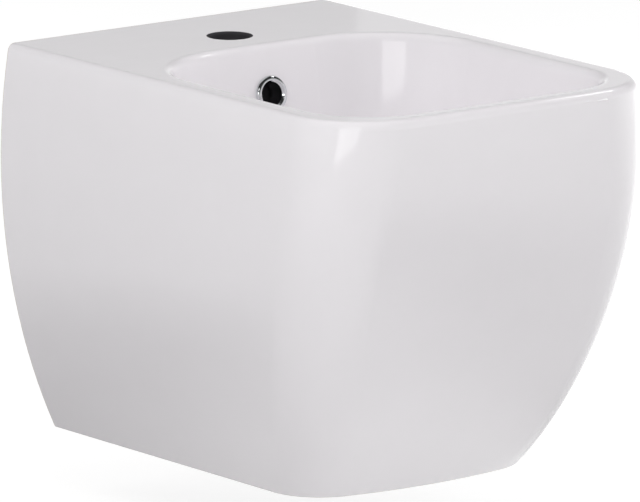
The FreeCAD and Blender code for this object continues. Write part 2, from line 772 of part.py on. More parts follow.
def trap_inlet_washer():
    return aimed(cone_washer(), *inlet_spout())


def trap_outlet_nut():
    base, axis = outlet_spout()
    return aimed(spout_nut(), base + axis * CONE_WASHER_HEIGHT, axis)


def trap_outlet_washer():
    return aimed(cone_washer(), *outlet_spout())


def trap_head():
    """Hollow head with an upright inlet spout and a level outlet spout, open below for the cup."""
    outer = TRAP_HEAD_DIAMETER / 2
    inner = outer - TRAP_WALL
    spout = TRAP_SPOUT_DIAMETER / 2
    pipe_hole = PIPE_DIAMETER / 2 + FIT_GAP
    spout_top = HEAD_TOP_Z + TRAP_SPOUT_LENGTH
    ceiling = HEAD_TOP_Z - TRAP_WALL
    steps = [
        (outer, HEAD_END_Z),
        (outer, HEAD_TOP_Z - TRAP_WALL),
        (outer - TRAP_WALL, HEAD_TOP_Z),
        (spout, HEAD_TOP_Z),
        (spout, spout_top),
        (pipe_hole, spout_top),
        (pipe_hole, ceiling),
        (inner, ceiling),
    ]
    head = at_drain(turned((inner, HEAD_END_Z), steps))
    axis = vec(0, 1, 0)
    base = vec(0, DRAIN_Y + inner - TRAP_WALL, OUTLET_Z)
    branch = Part.makeCylinder(spout, TRAP_SPOUT_LENGTH + 2 * TRAP_WALL, base, axis)
    room = Part.makeCylinder(inner, TRAP_HEAD_HEIGHT - TRAP_WALL, vec(0, DRAIN_Y, HEAD_END_Z))
    head = head.fuse(branch.cut(room)).removeSplitter()
    step = vec(0, DRAIN_Y + outer, OUTLET_Z)
    socket = Part.makeCylinder(pipe_hole, TRAP_SPOUT_LENGTH + BEYOND, step, axis)
    way_out = vec(0, DRAIN_Y + inner / 2, OUTLET_Z)
    bore = Part.makeCylinder(PIPE_DIAMETER / 2 - PIPE_WALL, outer, way_out, axis)
    return head.cut(socket).cut(bore)


def trap_cup_seal():
    outer = TRAP_HEAD_DIAMETER
    return at_drain(ring(outer - 2 * TRAP_WALL, outer, CUP_TOP_Z, HEAD_END_Z))


def trap_cup():
    """Cup that screws up into the head, with a round collar and a many-sided grip below it."""
    outer = TRAP_HEAD_DIAMETER / 2
    spigot = outer - TRAP_WALL - FIT_GAP
    inner = spigot - TRAP_WALL
    floor = CUP_END_Z + TRAP_WALL
    steps = [
        (outer - CUP_BEVEL, CUP_END_Z),
        (outer, CUP_END_Z + CUP_BEVEL),
        (outer, CUP_TOP_Z),
        (spigot, CUP_TOP_Z),
        (spigot, CUP_TOP_Z + TRAP_SPIGOT),
        (inner, CUP_TOP_Z + TRAP_SPIGOT),
        (inner, floor),
        (0.0, floor),
    ]
    cup = turned((0.0, CUP_END_Z), steps)
    collar = Part.makeCylinder(outer, TRAP_SPIGOT + CUP_COLLAR, vec(0, 0, CUP_TOP_Z - CUP_COLLAR))
    grip = prism(TRAP_NUT_FLAT_COUNT, 2 * outer - CUP_GRIP, CUP_END_Z, CUP_TOP_Z - CUP_COLLAR)
    return at_drain(cup.common(collar.fuse(grip)))


def outlet_pipe():
    """Level pipe from the trap into the wall, with a depth mark turned into it at the wall face."""
    start = DRAIN_Y + TRAP_HEAD_DIAMETER / 2
    outer = PIPE_DIAMETER / 2
    inner = outer - PIPE_WALL
    mark = outer - PIPE_MARK
    steps = [(outer, start), (outer, -PIPE_MARK), (mark, -PIPE_MARK), (mark, 0.0), (outer, 0.0),
             (outer, OUTLET_PAST_WALL), (inner, OUTLET_PAST_WALL)]
    return aimed(turned((inner, start), steps), vec(0, 0, OUTLET_Z), vec(0, 1, 0))


def fixing_pair(piece):
    """The same piece at both wall fixings: built about Z, its Z points away from the wall."""
    pair = []
    for side in (-1, 1):
        pair.append(aimed(piece.copy(), vec(side * FIXING_SPACING / 2, 0, 0), vec(0, -1, 0)))
    return Part.makeCompound(pair)


def wall_studs():
    """Studs with a full thread in the wall and a thinner shank from the wall face inward."""
    thread = STUD_DIAMETER / 2
    shank = STUD_CORE_DIAMETER / 2
    end = NUT_END + STUD_PAST_NUT
    steps = [(thread, -STUD_PAST_WALL), (thread, 0.0), (shank, 0.0), (shank, end), (0.0, end)]
    return fixing_pair(turned((0.0, -STUD_PAST_WALL), steps))


def stud_sleeves():
    inner = STUD_DIAMETER / 2 + FIT_GAP
    spigot = FIXING_HOLE_DIAMETER / 2 - FIT_GAP
    flange = SLEEVE_FLANGE_DIAMETER / 2
    steps = [(spigot, SLEEVE_SHY), (spigot, REAR_WALL), (flange, REAR_WALL), (flange, SLEEVE_END),
             (inner, SLEEVE_END)]
    return fixing_pair(turned((inner, SLEEVE_SHY), steps))


def stud_washers():
    return fixing_pair(ring(STUD_DIAMETER + 2 * FIT_GAP, WASHER_DIAMETER, SLEEVE_END, WASHER_END))


def stud_nuts():
    bore = Part.makeCylinder(STUD_CORE_DIAMETER / 2 + FIT_GAP, NUT_HEIGHT, vec(0, 0, WASHER_END))
    return fixing_pair(prism(6, NUT_ACROSS_FLATS, WASHER_END, NUT_END).cut(bore))


PIECES = {
    "ceramic_body": ceramic_body,
    "overflow_ring": overflow_ring,
    "waste_body": waste_body,
    "flange_seal": flange_seal,
    "under_basin_seal": under_basin_seal,
    "slip_washer": slip_washer,
    "back_nut": back_nut,
    "plug_cap": plug_cap,
    "plug_seal": plug_seal,
    "plug_stem": plug_stem,
    "plug_cartridge": plug_cartridge,
    "plug_spring": plug_spring,
    "trap_coupling_nut": trap_coupling_nut,
    "trap_coupling_washer": trap_coupling_washer,
    "trap_inlet_tube": trap_inlet_tube,
    "trap_inlet_nut": trap_inlet_nut,
    "trap_inlet_washer": trap_inlet_washer,
    "trap_head": trap_head,
    "trap_cup": trap_cup,
    "trap_cup_seal": trap_cup_seal,
    "trap_outlet_nut": trap_outlet_nut,
    "trap_outlet_washer": trap_outlet_washer,
    "outlet_pipe": outlet_pipe,
    "wall_studs": wall_studs,
    "stud_sleeves": stud_sleeves,
    "stud_washers": stud_washers,
    "stud_nuts": stud_nuts,
}

os.makedirs("parts", exist_ok=True)
for name, make in PIECES.items():
    make().exportStep("parts/" + name + ".step")
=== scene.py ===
import json
import math

import bmesh
import bpy
from bpy.props import FloatProperty, FloatVectorProperty, IntProperty, PointerProperty
from mathutils import Matrix, Vector


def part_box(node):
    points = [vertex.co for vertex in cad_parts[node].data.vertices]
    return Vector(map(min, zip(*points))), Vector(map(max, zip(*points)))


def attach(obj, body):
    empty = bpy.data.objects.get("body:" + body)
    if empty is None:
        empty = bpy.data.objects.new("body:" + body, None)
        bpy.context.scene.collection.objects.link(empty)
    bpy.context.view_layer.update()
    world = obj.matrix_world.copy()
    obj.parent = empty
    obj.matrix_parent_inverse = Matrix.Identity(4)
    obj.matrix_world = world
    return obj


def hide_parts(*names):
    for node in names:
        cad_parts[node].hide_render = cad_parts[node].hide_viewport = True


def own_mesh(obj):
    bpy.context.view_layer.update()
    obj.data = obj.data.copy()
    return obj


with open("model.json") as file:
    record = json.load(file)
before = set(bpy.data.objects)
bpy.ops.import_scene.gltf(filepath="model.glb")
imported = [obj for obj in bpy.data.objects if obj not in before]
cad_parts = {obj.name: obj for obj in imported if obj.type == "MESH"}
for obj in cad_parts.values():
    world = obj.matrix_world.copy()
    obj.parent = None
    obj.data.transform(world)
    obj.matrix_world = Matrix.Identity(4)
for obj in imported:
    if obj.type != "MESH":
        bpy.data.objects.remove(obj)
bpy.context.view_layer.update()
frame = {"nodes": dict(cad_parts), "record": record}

bl_info = {
    "name": "Wall-hung bidet",
    "version": (1, 0, 0),
    "blender": (4, 5, 0),
    "location": "3D View > Sidebar > Bidet",
    "description": "Glaze, metal and plastic finishes, turned fittings and a studio for a wall-hung bidet",
    "category": "Object",
}

MM = 0.001
NODES = frame["nodes"]
RECORD = frame["record"]
SLOT_OF = {part["node"]: part["material_slot"] for part in RECORD["subparts"]}
MOUNTS = {mount["name"]: mount for mount in RECORD["mounts"]}

# Places that the finishes and the turned pieces are set out from, with the basin's sizes as in the CAD
CERAMIC_LOW, CERAMIC_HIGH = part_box("ceramic_body")
RIM_Z = CERAMIC_HIGH.z
BASE_Z = CERAMIC_LOW.z
TAP_AXIS = Vector(MOUNTS["tap_hole"]["pos_m"])
TAP_RADIUS = MOUNTS["tap_hole"]["dims"]["r_mm"] * MM
DECK_FRONT = 137 * MM
BASIN_DRAFT = math.radians(10)
OVERFLOW_DROP = 42 * MM
OVERFLOW_AXIS = Vector((0, -math.cos(BASIN_DRAFT), math.sin(BASIN_DRAFT)))
OVERFLOW_POINT = Vector((0, -DECK_FRONT - OVERFLOW_DROP * math.tan(BASIN_DRAFT), RIM_Z - OVERFLOW_DROP))

# Where the casting has no glaze: its ground faces, the tap hole and the duct behind the basin's rear wall,
# the last two also painted dark as shade
GROUND_DEPTH = 0.6 * MM
TAP_HOLE_REACH = TAP_RADIUS + 2.0 * MM
DUCT_DEPTH = 15.5 * MM
DUCT_HALF_DEPTH = 7.0 * MM
DUCT_HALF_WIDTH = 22.5 * MM
DUCT_MIDDLE_Z = RIM_Z - 60 * MM
DUCT_HALF_HEIGHT = 37 * MM

# Sockets of the Mix node by number, because those for values and for colours share their names
FACTOR = 0
VALUE_A = 2
VALUE_B = 3
COLOUR_A = 6
COLOUR_B = 7
MIXED_VALUE = 0
MIXED_COLOUR = 2

# Radians that the wave texture goes through along a unit of length at a scale of one
WAVE_RADIANS = 20

# Fineness of the meshes
WELD_DISTANCE = 1e-7
TURNED_STEPS = 128
ARC_STEPS = 6

# Strength that renders as white
WHITE = 1.0

# Sine of the height at which the room's walls, in reflections, have faded into the ceiling
WALL_TOP = 0.35

# The skylight, overhead and a little to the back, with the cosines at its edge and at its full brightness
SKYLIGHT_WAY = Vector((0, 0.3, 1)).normalized()
SKYLIGHT_EDGE = 0.82
SKYLIGHT_FULL = 0.95

# The floor: reach in metres, cells each way, glow to the camera and share of its paint that shows shadow
FLOOR_REACH = 30.0
FLOOR_CELLS = 8
FLOOR_GLOW = 0.85
SHADOW_SHARE = 0.35

# The floor's painted glow in reflections: X and brightness where it starts to brighten and where it is
# brightest
FLOOR_PLAIN = (0.4, 0.7)
FLOOR_BRIGHT = (1.4, 1.5)

# Soft patches of painted shade and painted glow on the floor, in reflections alone: radius of the core,
# then X, Y, reach and change of brightness
PATCH_CORE = 0.08
FLOOR_PAINTED_PATCHES = (
    (-0.26, 0.13, 0.34, -0.7),
    (0.25, -0.78, 0.28, -0.7),
    (0.05, -0.36, 0.22, 0.9),
)

# Lamps, in degrees and metres: name, brightness, azimuth, elevation, distance, width, height, reflected
LAMPS = (
    ("left_softbox", "left", -120, 45, 2.6, 1.6, 1.4, False),
    ("right_softbox", "right", 75, 22, 2.6, 2.4, 2.0, False),
    ("key_softbox", "key", -50, 10, 2.6, 1.2, 1.4, True),
    ("front_softbox", "front", -15, 30, 2.6, 1.6, 1.4, False),
    ("side_softbox", "side", 100, 8, 2.6, 2.0, 0.8, False),
    ("back_softbox", "back", 180, 8, 2.6, 1.6, 0.8, False),
    ("overhead_softbox", "over", -30, 62, 2.6, 1.6, 1.4, False),
    # Three in one place, which add up to one with soft ends
    ("rim_softbox", "rim", 125, 13, 1.1, 0.3, 0.4, True),
    ("rim_softbox", "rim", 125, 13, 1.1, 0.45, 0.4, True),
    ("rim_softbox", "rim", 125, 13, 1.1, 0.6, 0.4, True),
    # Strip near the floor and small softboxes for highlights
    ("low_strip", "low", 5, -9, 1.1, 1.0, 0.12, False),
    ("glint_softbox", "glint", -45, 35, 2.4, 0.45, 0.4, True),
    ("spark_softbox", "spark", 82, 48, 2.4, 0.4, 0.35, True),
)

# Width of the camera's sensor in millimetres
SENSOR_WIDTH = 36.0


def linear(code):
    """Linear colour of an sRGB hex value."""
    parts = [int(code[i:i + 2], 16) / 255 for i in (1, 3, 5)]
    return [c / 12.92 if c <= 0.04045 else ((c + 0.055) / 1.055) ** 2.4 for c in parts]


def rgba(value, share=1.0):
    """A colour for a socket, all its channels times a share."""
    return (*(c * share for c in value), 1.0)


def length(name, description, millimetres):
    """A length property with its default in millimetres."""
    return FloatProperty(
        name=name, description=description, default=millimetres * MM, min=0.0, unit="LENGTH")


def angle(name, description, degrees):
    """An angle property with its default in degrees."""
    return FloatProperty(
        name=name, description=description, default=math.radians(degrees), subtype="ANGLE")


def brightness(name, description, level):
    """A property for the brightness of a lamp or of a surface that glows."""
    return FloatProperty(name=name, description=description, default=level, min=0.0)


def colour(name, description, code):
    """A colour property with its default as an sRGB hex value."""
    return FloatVectorProperty(
        name=name, description=description, default=linear(code), size=3, min=0.0, max=1.0, subtype="COLOR")


class BidetSizes(bpy.types.PropertyGroup):
    """Sizes of the turned and threaded pieces."""
    ring_opening: length("Ring opening", "Diameter of the overflow ring's opening", 21)
    ring_height: length("Ring height", "How far the overflow ring stands off the basin wall", 3.4)
    ring_spigot: length("Ring spigot", "Depth of the overflow ring's spigot", 13)
    ring_round: length("Ring rounding", "Rounding of the overflow ring's outer edge", 2.7)
    ring_bevel: length("Ring bevel", "Width of the slope into the overflow ring's opening", 1.6)
    plug_round: length("Plug rounding", "Rounding of the plug cap's top edge", 1.6)
    plug_crown: length("Plug crown", "Rise of the plug cap's top towards its middle", 0.35)
    stud_pitch: length("Stud pitch", "Distance between turns of the stud's thread", 1.75)
    stud_thread: length("Stud thread depth", "Depth of the stud's thread", 0.9)
    spring_wire: length("Spring wire", "Diameter of the plug spring's wire", 1.0)
    spring_turns: IntProperty(name="Spring turns", description="Turns of the plug spring", default=4, min=1)


class BidetColours(bpy.types.PropertyGroup):
    """Colours of the finishes."""
    glaze: colour("Glaze", "White glaze of the ceramic", "#F3F0F3")
    biscuit: colour("Biscuit", "Bare fired clay at the wall face and the foot", "#D6CFC3")
    # Painted shade: a dark colour laid on the bare clay in the tap hole and the overflow duct
    hollow: colour("Hollow", "Bare clay in the tap hole and the overflow duct, in shade", "#343236")
    chrome: colour("Chrome", "Polished chromium plate", "#DCDEE0")
    brass: colour("Brass", "Machined brass", "#C2A05C")
    rubber: colour("Rubber", "Black seal rubber", "#1D1D1E")
    silicone: colour("Silicone", "Pale translucent silicone", "#C9CBCA")
    nylon: colour("Nylon", "Natural white nylon", "#E4E1D8")
    polypropylene: colour("Polypropylene", "White waste fittings", "#E9E9E7")
    acetal: colour("Acetal", "Grey acetal cartridge", "#85888B")
    zinc: colour("Zinc", "Bright zinc plate", "#BFC3C7")
    zinc_blue: colour("Zinc, blue", "Tint of the zinc where its passivation is bluish", "#F7FCFF")
    zinc_yellow: colour("Zinc, yellow", "Tint of the zinc where its passivation is yellowish", "#FFFCF3")
    spring: colour("Spring steel", "Drawn spring wire", "#8E9196")
    floor: colour("Floor", "Pale studio floor", "#D8D8D8")
    light: colour("Light", "Glow of the room and the floor", "#FFFFFF")


class BidetStudio(bpy.types.PropertyGroup):
    """Camera and light."""
    azimuth: angle("Azimuth", "Camera angle round the part, from straight in front", -37.284)
    elevation: angle("Elevation", "Camera angle above the horizon", 11.905)
    distance: length("Distance", "Camera distance from the aim point", 9000)
    aim: FloatVectorProperty(
        name="Aim", description="Point in the middle of the view",
        default=(-21.95 * MM, -242.33 * MM, -74.37 * MM), size=3, subtype="XYZ", unit="LENGTH")
    lens: FloatProperty(
        name="Lens", description="Focal length in millimetres", default=598.29, unit="CAMERA")
    floor_gap: length("Floor gap", "Height of the foot above the floor", 58)
    room: brightness("Room light", "Even light from the room's walls and ceiling", 0.2)
    ceiling: brightness("Ceiling", "Brightness of the ceiling in reflections", 0.04)
    skylight: brightness("Skylight", "Brightness of the skylight in reflections", 0.6)
    left: brightness("Left light", "Brightness of the high softbox on the left", 2.75)
    right: brightness("Right light", "Brightness of the softbox on the right", 1.6)
    key: brightness("Key light", "Brightness of the softbox left of the camera", 2.3)
    front: brightness("Front light", "Brightness of the softbox right of the camera", 1.25)
    side: brightness("Side light", "Brightness of the low softbox at the right side", 1.9)
    back: brightness("Back light", "Brightness of the low softbox behind the part", 3.5)
    over: brightness("Overhead light", "Brightness of the softbox over the camera", 2.1)
    rim: brightness("Rim light", "Brightness of each near card behind the right rim", 0.18)
    low: brightness("Low light", "Brightness of the low strip lamp in front", 1.2)
    glint: brightness("Glint light", "Brightness of the small softbox left of the camera", 4.5)
    spark: brightness("Spark light", "Brightness of the small high softbox on the right", 8.0)


def add(tree, kind, inputs=None, **settings):
    """A node with its settings, its values and its links, by socket name or number."""
    node = tree.nodes.new(kind)
    for name, value in settings.items():
        setattr(node, name, value)
    for name, value in (inputs or {}).items():
        if isinstance(value, bpy.types.NodeSocket):
            tree.links.new(value, node.inputs[name])
        else:
            node.inputs[name].default_value = value
    return node


def new_material(name):
    """An empty node material: its tree, its shader and the position on the part in metres."""
    material = bpy.data.materials.new(name)
    material.use_nodes = True
    tree = material.node_tree
    tree.nodes.clear()
    shader = add(tree, "ShaderNodeBsdfPrincipled")
    add(tree, "ShaderNodeOutputMaterial", {"Surface": shader.outputs[0]})
    place = add(tree, "ShaderNodeTexCoord").outputs["Object"]
    return material, tree, shader, place


def mottled(tree, shader, place, base, size, spread, rough, rough_spread, bump=0.0):
    """Noise at a real size that varies a finish's colour and roughness and may lift its surface."""
    noise = add(tree, "ShaderNodeTexNoise", {"Vector": place, "Scale": 1 / size, "Detail": 4.0})
    value = noise.outputs["Fac"]
    tint = add(tree, "ShaderNodeMix", {
        FACTOR: value,
        COLOUR_A: rgba(base, 1 - spread),
        COLOUR_B: rgba(base, 1 + spread),
    }, data_type="RGBA", clamp_result=True)
    gloss = add(tree, "ShaderNodeMapRange", {
        "Value": value, "To Min": rough - rough_spread, "To Max": rough + rough_spread})
    tree.links.new(tint.outputs[MIXED_COLOUR], shader.inputs["Base Color"])
    tree.links.new(gloss.outputs[0], shader.inputs["Roughness"])
    if bump:
        lift = add(tree, "ShaderNodeBump", {"Height": value, "Strength": 1.0, "Distance": bump})
        tree.links.new(lift.outputs[0], shader.inputs["Normal"])
    return tint.outputs[MIXED_COLOUR]


def glazed_vitreous_china(colours):
    """Vitreous china under a fired white glaze."""
    # The glaze gives clear reflections with a slow waver; where the clay is bare it is dull
    material, tree, shader, place = new_material("glazed_vitreous_china")
    shader.inputs["IOR"].default_value = 1.52
    waver_size = 45 * MM
    waver_height = 0.10 * MM
    peel_size = 7 * MM
    peel_height = 0.010 * MM
    pooling = 0.01
    glaze_roughness = 0.08
    clay_roughness = 0.8
    waver = add(tree, "ShaderNodeTexNoise", {"Vector": place, "Scale": 1 / waver_size, "Detail": 2.0})
    peel = add(tree, "ShaderNodeTexNoise", {"Vector": place, "Scale": 1 / peel_size, "Detail": 2.0})
    slow = add(tree, "ShaderNodeBump", {
        "Height": waver.outputs["Fac"], "Strength": 1.0, "Distance": waver_height})
    bump = add(tree, "ShaderNodeBump", {
        "Height": peel.outputs["Fac"], "Strength": 1.0, "Distance": peel_height, "Normal": slow.outputs[0]})
    pooled = add(tree, "ShaderNodeMix", {
        FACTOR: waver.outputs["Fac"],
        COLOUR_A: rgba(colours.glaze, 1 - pooling),
        COLOUR_B: rgba(colours.glaze, 1 + pooling),
    }, data_type="RGBA")
    # Bare clay where the casting was ground: the wall face and the foot
    axes = add(tree, "ShaderNodeSeparateXYZ", {0: place})
    at_wall = add(tree, "ShaderNodeMath", {
        0: axes.outputs["Y"], 1: -GROUND_DEPTH}, operation="GREATER_THAN")
    at_foot = add(tree, "ShaderNodeMath", {
        0: axes.outputs["Z"], 1: BASE_Z + GROUND_DEPTH}, operation="LESS_THAN")
    bare = add(tree, "ShaderNodeMath", {
        0: at_wall.outputs[0], 1: at_foot.outputs[0]}, operation="MAXIMUM")
    # Painted shade down the tap hole: all that lies near its axis is bare clay painted dark
    flat = add(tree, "ShaderNodeVectorMath", {0: place, 1: (1, 1, 0)}, operation="MULTIPLY")
    off_tap = add(tree, "ShaderNodeVectorMath", {
        0: flat.outputs[0], 1: (TAP_AXIS.x, TAP_AXIS.y, 0)}, operation="DISTANCE")
    near_tap = add(tree, "ShaderNodeMath", {
        0: off_tap.outputs["Value"], 1: TAP_HOLE_REACH}, operation="LESS_THAN")
    # Painted shade in the overflow duct: bare clay painted dark in a slab behind the basin's rear wall
    behind = add(tree, "ShaderNodeVectorMath", {0: place, 1: OVERFLOW_POINT}, operation="SUBTRACT")
    depth = add(tree, "ShaderNodeVectorMath", {
        0: behind.outputs[0], 1: OVERFLOW_AXIS}, operation="DOT_PRODUCT")
    in_slab = add(tree, "ShaderNodeMath", {
        0: depth.outputs["Value"], 1: -DUCT_DEPTH, 2: DUCT_HALF_DEPTH}, operation="COMPARE")
    sideways = add(tree, "ShaderNodeMath", {
        0: axes.outputs["X"], 1: 0.0, 2: DUCT_HALF_WIDTH}, operation="COMPARE")
    upright = add(tree, "ShaderNodeMath", {
        0: axes.outputs["Z"], 1: DUCT_MIDDLE_Z, 2: DUCT_HALF_HEIGHT}, operation="COMPARE")
    across = add(tree, "ShaderNodeMath", {
        0: in_slab.outputs[0], 1: sideways.outputs[0]}, operation="MULTIPLY")
    in_duct = add(tree, "ShaderNodeMath", {
        0: across.outputs[0], 1: upright.outputs[0]}, operation="MULTIPLY")
    dark = add(tree, "ShaderNodeMath", {
        0: near_tap.outputs[0], 1: in_duct.outputs[0]}, operation="MAXIMUM")
    ground = add(tree, "ShaderNodeMix", {
        FACTOR: bare.outputs[0],
        COLOUR_A: pooled.outputs[MIXED_COLOUR],
        COLOUR_B: rgba(colours.biscuit),
    }, data_type="RGBA")
    tint = add(tree, "ShaderNodeMix", {
        FACTOR: dark.outputs[0],
        COLOUR_A: ground.outputs[MIXED_COLOUR],
        COLOUR_B: rgba(colours.hollow),
    }, data_type="RGBA")
    dull = add(tree, "ShaderNodeMath", {0: bare.outputs[0], 1: dark.outputs[0]}, operation="MAXIMUM")
    rough = add(tree, "ShaderNodeMapRange", {
        "Value": dull.outputs[0], "To Min": glaze_roughness, "To Max": clay_roughness})
    tree.links.new(tint.outputs[MIXED_COLOUR], shader.inputs["Base Color"])
    tree.links.new(rough.outputs[0], shader.inputs["Roughness"])
    tree.links.new(bump.outputs[0], shader.inputs["Normal"])
    return material


def polished_chromium_plate(colours):
    """Bright chromium plate over polished brass."""
    # A mirror with a faint cloud where the polishing wheel passed
    material, tree, shader, place = new_material("polished_chromium_plate")
    shader.inputs["Metallic"].default_value = 1.0
    mottled(tree, shader, place, colours.chrome,
            size=9 * MM, spread=0.015, rough=0.06, rough_spread=0.02, bump=0.002 * MM)
    return material


def machined_brass(colours):
    """Brass left as it came off the lathe."""
    # Turned rings catch the light across the cut; drawn coarser than real ones to show
    material, tree, shader, place = new_material("machined_brass")
    shader.inputs["Metallic"].default_value = 1.0
    ring_spacing = 0.8 * MM
    ring_height = 0.01 * MM
    mottled(tree, shader, place, colours.brass,
            size=3 * MM, spread=0.06, rough=0.28, rough_spread=0.08)
    rings = add(tree, "ShaderNodeTexWave", {
        "Vector": place, "Scale": 2 * math.pi / (WAVE_RADIANS * ring_spacing), "Distortion": 0.4,
    }, wave_type="BANDS", bands_direction="Z")
    bump = add(tree, "ShaderNodeBump", {
        "Height": rings.outputs["Fac"], "Strength": 0.5, "Distance": ring_height})
    tree.links.new(bump.outputs[0], shader.inputs["Normal"])
    return material


def moulded_seal_rubber(colours):
    """Black rubber pressed in a mould."""
    # Dull black with a grey bloom in patches and a pebble, drawn coarser than a real one to show
    material, tree, shader, place = new_material("moulded_seal_rubber")
    shader.inputs["IOR"].default_value = 1.52
    mottled(tree, shader, place, colours.rubber,
            size=2.5 * MM, spread=0.35, rough=0.62, rough_spread=0.12, bump=0.02 * MM)
    return material


def moulded_silicone(colours):
    """Pale silicone pressed in a smooth mould."""
    # Milky body with soft edges and a slightly greasy shine
    material, tree, shader, place = new_material("moulded_silicone")
    shader.inputs["IOR"].default_value = 1.41
    shader.inputs["Subsurface Weight"].default_value = 0.35
    shader.inputs["Subsurface Radius"].default_value = (2 * MM, 2 * MM, 2 * MM)
    mottled(tree, shader, place, colours.silicone,
            size=4 * MM, spread=0.04, rough=0.38, rough_spread=0.06, bump=0.006 * MM)
    return material


def moulded_nylon(colours):
    """Natural nylon, injection moulded."""
    # Warm white, half dull, with a faint flow cloud
    material, tree, shader, place = new_material("moulded_nylon")
    shader.inputs["IOR"].default_value = 1.53
    mottled(tree, shader, place, colours.nylon,
            size=5 * MM, spread=0.03, rough=0.45, rough_spread=0.06, bump=0.006 * MM)
    return material


def moulded_polypropylene(colours):
    """White polypropylene, injection moulded."""
    # Waxy white with a soft broad highlight and the mould's faint grain, drawn coarser than real to show
    material, tree, shader, place = new_material("moulded_polypropylene")
    shader.inputs["IOR"].default_value = 1.49
    mottled(tree, shader, place, colours.polypropylene,
            size=1.6 * MM, spread=0.02, rough=0.36, rough_spread=0.05, bump=0.012 * MM)
    return material


def moulded_acetal(colours):
    """Grey acetal, injection moulded."""
    # Hard slippery plastic, nearly even grey with a narrow highlight
    material, tree, shader, place = new_material("moulded_acetal")
    shader.inputs["IOR"].default_value = 1.48
    mottled(tree, shader, place, colours.acetal,
            size=3 * MM, spread=0.04, rough=0.3, rough_spread=0.05, bump=0.004 * MM)
    return material


def bright_zinc_plate(colours):
    """Steel with bright zinc plate."""
    # Cool grey metal with cloudy patches of blue and yellow passivation
    material, tree, shader, place = new_material("bright_zinc_plate")
    shader.inputs["Metallic"].default_value = 1.0
    cloud_size = 8 * MM
    plate = mottled(tree, shader, place, colours.zinc,
                    size=4 * MM, spread=0.10, rough=0.32, rough_spread=0.10, bump=0.004 * MM)
    cloud = add(tree, "ShaderNodeTexNoise", {"Vector": place, "Scale": 1 / cloud_size, "Detail": 2.0})
    film = add(tree, "ShaderNodeMix", {
        FACTOR: cloud.outputs["Fac"],
        COLOUR_A: rgba(colours.zinc_blue),
        COLOUR_B: rgba(colours.zinc_yellow),
    }, data_type="RGBA")
    tint = add(tree, "ShaderNodeMix", {
        FACTOR: 1.0,
        COLOUR_A: plate,
        COLOUR_B: film.outputs[MIXED_COLOUR],
    }, data_type="RGBA", blend_type="MULTIPLY")
    tree.links.new(tint.outputs[MIXED_COLOUR], shader.inputs["Base Color"])
    return material


def drawn_spring_steel(colours):
    """Spring wire drawn through a die."""
    # Grey metal with small clouds under a film of oil
    material, tree, shader, place = new_material("drawn_spring_steel")
    shader.inputs["Metallic"].default_value = 1.0
    mottled(tree, shader, place, colours.spring,
            size=1.2 * MM, spread=0.10, rough=0.26, rough_spread=0.06, bump=0.003 * MM)
    return material


FINISHES = {
    "glazed_china": glazed_vitreous_china,
    "chrome_plate": polished_chromium_plate,
    "plain_brass": machined_brass,
    "black_rubber": moulded_seal_rubber,
    "clear_silicone": moulded_silicone,
    "white_nylon": moulded_nylon,
    "white_polypropylene": moulded_polypropylene,
    "grey_acetal": moulded_acetal,
    "zinc_plated_steel": bright_zinc_plate,
    "spring_steel": drawn_spring_steel,
}


def finish_of(slot):
    """The material of one of the record's slots, made once."""
    maker = FINISHES[slot]
    found = bpy.data.materials.get(maker.__name__)
    return found or maker(bpy.context.scene.bidet_colours)


def dress(*nodes):
    """Give CAD nodes the finish that their slot names."""
    for node in nodes:
        for slot in NODES[node].material_slots:
            slot.material = finish_of(SLOT_OF[node])


def new_piece(name, mesh, place, node, body):
    """A piece that stands for a CAD node, moves with a body and takes the node's finish."""
    piece = bpy.data.objects.new(name, mesh)
    bpy.context.scene.collection.objects.link(piece)
    piece.matrix_world = place
    mesh.materials.append(finish_of(SLOT_OF[node]))
    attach(piece, body)
    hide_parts(node)
    return piece


def finished_mesh(name, bm, sharp_degrees=40):
    """A mesh from a bmesh: welded, normals outward, smooth but for edges sharper than an angle."""
    sharp = math.radians(sharp_degrees)
    bmesh.ops.remove_doubles(bm, verts=bm.verts, dist=WELD_DISTANCE)
    bmesh.ops.recalc_face_normals(bm, faces=bm.faces)
    for face in bm.faces:
        face.smooth = True
    for edge in bm.edges:
        edge.smooth = len(edge.link_faces) == 2 and edge.calc_face_angle(0.0) < sharp
    mesh = bpy.data.meshes.new(name)
    bm.to_mesh(mesh)
    bm.free()
    return mesh


def rounded(corners):
    """A profile through corners of radius, height and rounding, with an arc at each rounded corner."""
    points = []
    for i, (r, z, rounding) in enumerate(corners):
        corner = Vector((r, z))
        if rounding == 0 or i in (0, len(corners) - 1):
            points.append(corner)
            continue
        back = (Vector(corners[i - 1][:2]) - corner).normalized()
        on = (Vector(corners[i + 1][:2]) - corner).normalized()
        half = back.angle(on) / 2
        centre = corner + (back + on).normalized() * (rounding / math.sin(half))
        start = (corner + back * (rounding / math.tan(half)) - centre).normalized()
        end = (corner + on * (rounding / math.tan(half)) - centre).normalized()
        for k in range(ARC_STEPS + 1):
            points.append(centre + start.slerp(end, k / ARC_STEPS) * rounding)
    return points


def turned(bm, profile):
    """A profile of radius and height spun about Z."""
    verts = [bm.verts.new((p.x, 0, p.y)) for p in profile]
    edges = [bm.edges.new(pair) for pair in zip(verts, verts[1:])]
    bmesh.ops.spin(bm, geom=verts + edges, cent=(0, 0, 0), axis=(0, 0, 1), angle=2 * math.pi,
                   steps=TURNED_STEPS, use_merge=True)


def stitched(bm, rows, closed_rows):
    """Quads between neighbouring rows of points, each row a closed loop of the same length."""
    made = [[bm.verts.new(p) for p in row] for row in rows]
    pairs = list(zip(made, made[1:])) + ([(made[-1], made[0])] if closed_rows else [])
    for first, second in pairs:
        count = len(first)
        for k in range(count):
            nxt = (k + 1) % count
            bm.faces.new((first[k], first[nxt], second[nxt], second[k]))
    return made


def capped_tube(bm, rows):
    """A closed solid along rows of points, with a face at each end."""
    made = stitched(bm, rows, False)
    bm.faces.new(made[0])
    bm.faces.new(made[-1])


